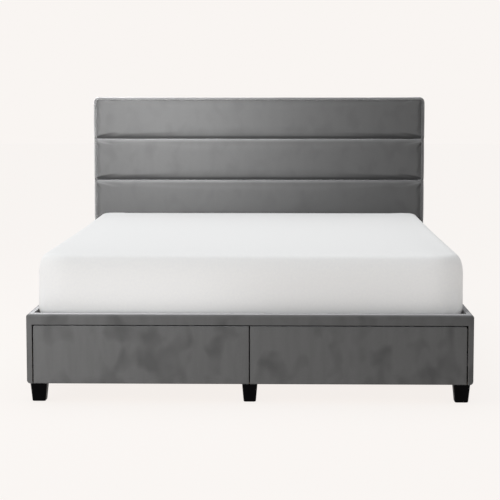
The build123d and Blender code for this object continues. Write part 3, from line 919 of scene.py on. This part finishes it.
def makeDrawerFront(side):
    # foam-backed velvet stretched over the drawer front, a little full in the middle
    shape = frontShape
    name = f"drawer_{side}_front_cover"
    low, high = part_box(name)
    boardLow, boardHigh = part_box(f"drawer_{side}_front_board")
    inner, outer = shape["innerCorner"], shape["outerCorner"]
    radii = (inner, inner, outer, inner) if side == "left" else (inner, outer, inner, inner)
    crown = (shape["crownWidth"], shape["crownDepth"])
    cover = softSlab(
        f"{side}DrawerVelvet", low, high, 1, radii, shape["edgeRadius"], 0.0, drawerVelvet, crown=crown
    )
    cutAway(cover, boardLow, (boardHigh.x, boardHigh.y + 0.01, boardHigh.z))
    # the drawer front's sides and top behind its rounded edge get the black tape as painted shade in the gaps
    behind = low.y + shape["crownDepth"] + shape["edgeRadius"] + shape["shadeFrom"]
    splitAt(cover, behind)
    paintShadeOnFaces(cover, lambda centre, normal: centre.y > behind and abs(normal.y) < 0.5)
    smooth(cover, 50)
    keepFlats(cover)
    finishPiece(cover, f"drawer_{side}", "rail_velvet", name)


mattressShape = {
    "footCorner": 125 * mm, "headCorner": 60 * mm, "topInset": 34 * mm, "topTall": 2.35,
    "bottomRadius": 16 * mm, "voxel": 15 * mm, "pressure": 3.0, "cap": 5 * mm, "heldHeight": 30 * mm,
    "sideSwell": 16 * mm, "footSwell": 2 * mm, "recessSwell": 4 * mm, "headRise": 6 * mm, "endRoom": 1 * mm,
    "railTop": 320 * mm, "fullCorner": 0.5, "fullBelow": 10 * mm, "roundAbove": 100 * mm,
    "tightBelow": 9 * mm, "freeAbove": 5 * mm, "creaseDepth": 2.2 * mm, "creaseLong": 2.4, "creaseHigh": 15.0,
}


def makeMattress():
    # a soft mattress that fills its recess to the corners and swells a little over the side rails above it
    shape = mattressShape
    low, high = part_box("mattress")
    foot, head, railTop = shape["footCorner"], shape["headCorner"], shape["railTop"]
    radii = (foot, head, head, foot)
    body = softSlab(
        "mattressBody", low, high, 2, radii, shape["bottomRadius"], shape["topInset"], ticking,
        tall=shape["topTall"],
    )
    remesh(body, shape["voxel"])
    held = low.z + shape["heldHeight"]
    inflate(body, shape["pressure"], shape["cap"], lambda co: co.z < held)
    swell = Vector((shape["sideSwell"], shape["footSwell"], 0))
    fitToBox(body, low - swell, high + swell)
    for vert in body.data.vertices:
        co = vert.co
        # below the rail's top the foot corners are pressed out into the corners of the recess
        risen = eased(co.z, railTop - shape["fullBelow"], railTop + shape["roundAbove"])
        pressed = shape["fullCorner"] * (1 - risen)
        u = (abs(co.x) - (high.x + shape["sideSwell"] - foot)) / foot
        v = ((low.y - shape["footSwell"] + foot) - co.y) / foot
        if u > 0 and v > 0:
            grow = 1 + pressed * (math.hypot(u, v) / max(u, v) - 1)
            co.x += math.copysign(u * (grow - 1) * foot, co.x)
            co.y -= v * (grow - 1) * foot
        above = eased(co.z, railTop - shape["tightBelow"], railTop + shape["freeAbove"])
        widest = high.x + shape["recessSwell"] + (shape["sideSwell"] - shape["recessSwell"]) * above
        co.x *= min(1.0, widest / (high.x + shape["sideSwell"]))
        co.z += shape["headRise"] * eased(co.y, 0.0, high.y) * eased(co.z, 0.4, high.z)
        wall = eased(co.z, low.z, low.z + 60 * mm) * (1 - eased(co.z, high.z - 70 * mm, high.z - 20 * mm))
        across = Vector((co.x * shape["creaseLong"], co.y * shape["creaseLong"], co.z * shape["creaseHigh"]))
        crease = noise.noise(across) * 0.6 + noise.noise(across * 2.4) * 0.4
        sideways = math.copysign(eased(abs(co.x), 0.6, 0.76), co.x)
        endways = math.copysign(eased(abs(co.y), 0.85, 1.0), co.y)
        vert.co = co + Vector((sideways, endways, 0)) * crease * shape["creaseDepth"] * wall
        if co.z < railTop + shape["freeAbove"]:
            vert.co.y = max(vert.co.y, low.y - shape["endRoom"])
        vert.co.y = min(vert.co.y, high.y + shape["endRoom"])
    smooth(body, 60)
    subdivide(body)
    finishPiece(body, "mattress", "mattress_knit", "mattress")


strapShape = {"width": 25 * mm, "sag": 2.5 * mm, "thickness": 1.2 * mm, "steps": 6}


def slatRows():  # the middle of each slat along Y, read from the slats' own mesh
    ys = sorted(set(round(v.co.y, 4) for v in nodes["slats"].data.vertices))
    return [(a + b) / 2 for a, b in zip(ys[::2], ys[1::2])]


def makeStraps():
    # webbing stapled under every slat, hanging a little slack between them
    shape = strapShape
    low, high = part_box("slat_straps")
    width = shape["width"]
    slatCentres = slatRows()
    build = bmesh.new()
    for x0 in (low.x, high.x - width):
        rows = []
        for first, second in zip(slatCentres, slatCentres[1:]):
            for i in range(shape["steps"]):
                share = i / shape["steps"]
                y = first + (second - first) * share
                rows.append((y, -shape["sag"] * math.sin(math.pi * share) ** 2))
        rows.append((slatCentres[-1], 0.0))
        rows = [(low.y, 0.0)] + rows + [(high.y, 0.0)]
        left = [build.verts.new((x0, y, high.z + z)) for y, z in rows]
        right = [build.verts.new((x0 + width, y, high.z + z)) for y, z in rows]
        for i in range(len(rows) - 1):
            build.faces.new((left[i], left[i + 1], right[i + 1], right[i]))
    straps = objectOf("slatStraps", meshOf("slatStraps", build), strapWeave)
    thicken(straps, shape["thickness"])
    smooth(straps, 40)
    finishPiece(straps, "frame", "webbing", "slat_straps")
    build = bmesh.new()
    for x in (low.x + width / 2, high.x - width / 2):
        for y in slatCentres:
            for offset in (-stapleShape["pair"], stapleShape["pair"]):
                stapleMesh(build, Vector((x, y + offset, low.z)), Vector((1, 0, 0)), Vector((0, 0, -1)))
    finishStaples("strapStaples", build)


makePads()
makeWelt()
print("headboard pads and welt made")
makeHeadboardWrap()
makeBasePad()
makeLining()
print("headboard wrapped and lined")
makeRailCover()
makeGapShade()
for drawerSide in ("left", "right"):
    makeDrawerFront(drawerSide)
print("rails and drawer fronts covered")
makeMattress()
print("mattress made")
makeStraps()
print("straps made")


studio = {
    "background": "#f9f5f2", "floorSize": 60.0, "floorGlow": 0.917, "floorTone": "#5a5958",
    "skyLeft": 0.88, "skyRight": 0.02, "skyTop": 0.84,
    "cameraPlace": (0.119, -5.555, 1.091), "yaw": 0.0211, "pitch": 0.0969, "lens": 113.8,
}


def makeFloor():
    # pale paper sweep, lit from below as well, so that the shadow under the bed stays faint
    build = bmesh.new()
    half = studio["floorSize"] / 2
    corners = ((-half, -half, 0), (half, -half, 0), (half, half, 0), (-half, half, 0))
    build.faces.new([build.verts.new(corner) for corner in corners])
    material, shader, place = newMaterial("palePaper")
    grain = addNode(material, "TexNoise", {"Vector": place, "Scale": 1000 / 3.0})
    setInputs(material, shader, {
        "Base Color": hexColour(studio["floorTone"]), "Roughness": 1.0, "Specular IOR Level": 0.0,
        "Emission Color": hexColour(studio["background"]), "Emission Strength": studio["floorGlow"],
        "Normal": addNode(material, "Bump", {"Height": grain, "Distance": 0.05 * mm, "Strength": 0.2}),
    })
    objectOf("floor", meshOf("floor", build), material)


def makeSky():
    # even pale backdrop for the eye, and light that comes softly from above and a little more from the left
    world = bpy.data.worlds.new("studio")
    world.use_nodes = True
    backdrop = world.node_tree.nodes["Background"]
    backdrop.inputs["Color"].default_value = hexColour(studio["background"])
    place = addNode(world, "TexCoord", output="Generated")
    sideways = addNode(world, "SeparateXYZ", {0: place}, output="X")
    height = addNode(world, "SeparateXYZ", {0: place}, output="Z")
    graded = {0: sideways, 1: -1.0, 2: 1.0, 3: studio["skyLeft"], 4: studio["skyRight"]}
    side = addNode(world, "MapRange", graded)
    upper = addNode(world, "MapRange", {0: height, 1: 0.2, 2: 1.0})
    level = addNode(world, "Mix", {0: upper, 2: side, 3: studio["skyTop"]})
    light = addNode(world, "Background", {"Color": hexColour("#fdfeff"), "Strength": level})
    seen = addNode(world, "LightPath", output="Is Camera Ray")
    both = addNode(world, "MixShader", {0: seen, 1: light, 2: backdrop.outputs[0]})
    setInputs(world, world.node_tree.nodes["World Output"], {"Surface": both})
    scene.world = world
    scene.view_settings.view_transform = "Standard"


def softbox(name, place, target, width, height, watts, onlyOn):
    data = bpy.data.lights.new(name, "AREA")
    data.shape = "RECTANGLE"
    data.size, data.size_y = width, height
    data.energy = watts
    light = bpy.data.objects.new(name, data)
    scene.collection.objects.link(light)
    light.location = place
    light.rotation_euler = (Vector(target) - Vector(place)).to_track_quat("-Z", "Y").to_euler()
    light.visible_camera = False
    if onlyOn is not None:
        light.light_linking.receiver_collection = onlyOn


softboxes = {  # place, aim, width, height, watts, and what alone it lights
    "headLeft": ((-0.5, 0.2, 1.14), (-0.45, 1.0, 0.86), 0.7, 0.6, 28, "headboard"),
    "footLeft": ((-1.1, -2.3, 0.65), (-0.75, -1.08, 0.2), 0.6, 0.5, 17, "velvet"),
    "rimLeft": ((-2.6, 0.9, 0.9), (-0.8, 1.03, 0.8), 0.4, 1.3, 65, "headboard"),
    "rimRight": ((2.6, 1.13, 0.9), (0.8, 1.03, 0.8), 0.25, 1.3, 26, "headboard"),
    "topCloth": ((-0.5, 0.5, 3.0), (-0.3, 0.9, 1.0), 1.4, 0.8, 13, "headboard"),
    "lowFill": ((-1.6, -4.2, 0.3), (-0.3, -1.0, 0.38), 1.6, 0.5, 2, "mattress"),
    "lipFill": ((-0.5, -1.32, 0.3), (-0.5, -1.04, 0.34), 0.9, 0.05, 0.34, "mattress"),
    "keyLeft": ((-3.6, -2.4, 2.4), (0, 0.4, 0.5), 2.0, 2.0, 16, None),
    "overhead": ((-0.5, 0.2, 3.4), (-0.2, 0.2, 0.4), 3.0, 3.0, 36, None),
}


def makeLights():
    # the small softboxes are flagged so that each lights only the velvet or only the white cover
    cloth = bpy.data.collections.new("velvetLit")
    head = bpy.data.collections.new("headboardLit")
    for made in bpy.data.objects:
        first = made.data.materials[0] if made.type == "MESH" and made.data.materials else None
        if first in (padVelvet, railVelvet, drawerVelvet):
            cloth.objects.link(made)
        if first == padVelvet:
            head.objects.link(made)
    cover = bpy.data.collections.new("coverLit")
    cover.objects.link(bpy.data.objects["mattressBody"])
    receivers = {"velvet": cloth, "headboard": head, "mattress": cover, None: None}
    for name, (place, target, width, height, watts, lit) in softboxes.items():
        softbox(name, place, target, width, height, watts, receivers[lit])


def makeCamera():
    data = bpy.data.cameras.new("camera")
    data.lens = studio["lens"]
    data.sensor_width = 36.0
    camera = bpy.data.objects.new("camera", data)
    scene.collection.objects.link(camera)
    x, y, z = studio["cameraPlace"]
    camera.location = (x, footFace + y, z)
    camera.rotation_euler = (math.pi / 2 - studio["pitch"], 0.0, studio["yaw"])
    scene.camera = camera


makeFloor()
makeSky()
makeLights()
makeCamera()
print("studio ready")
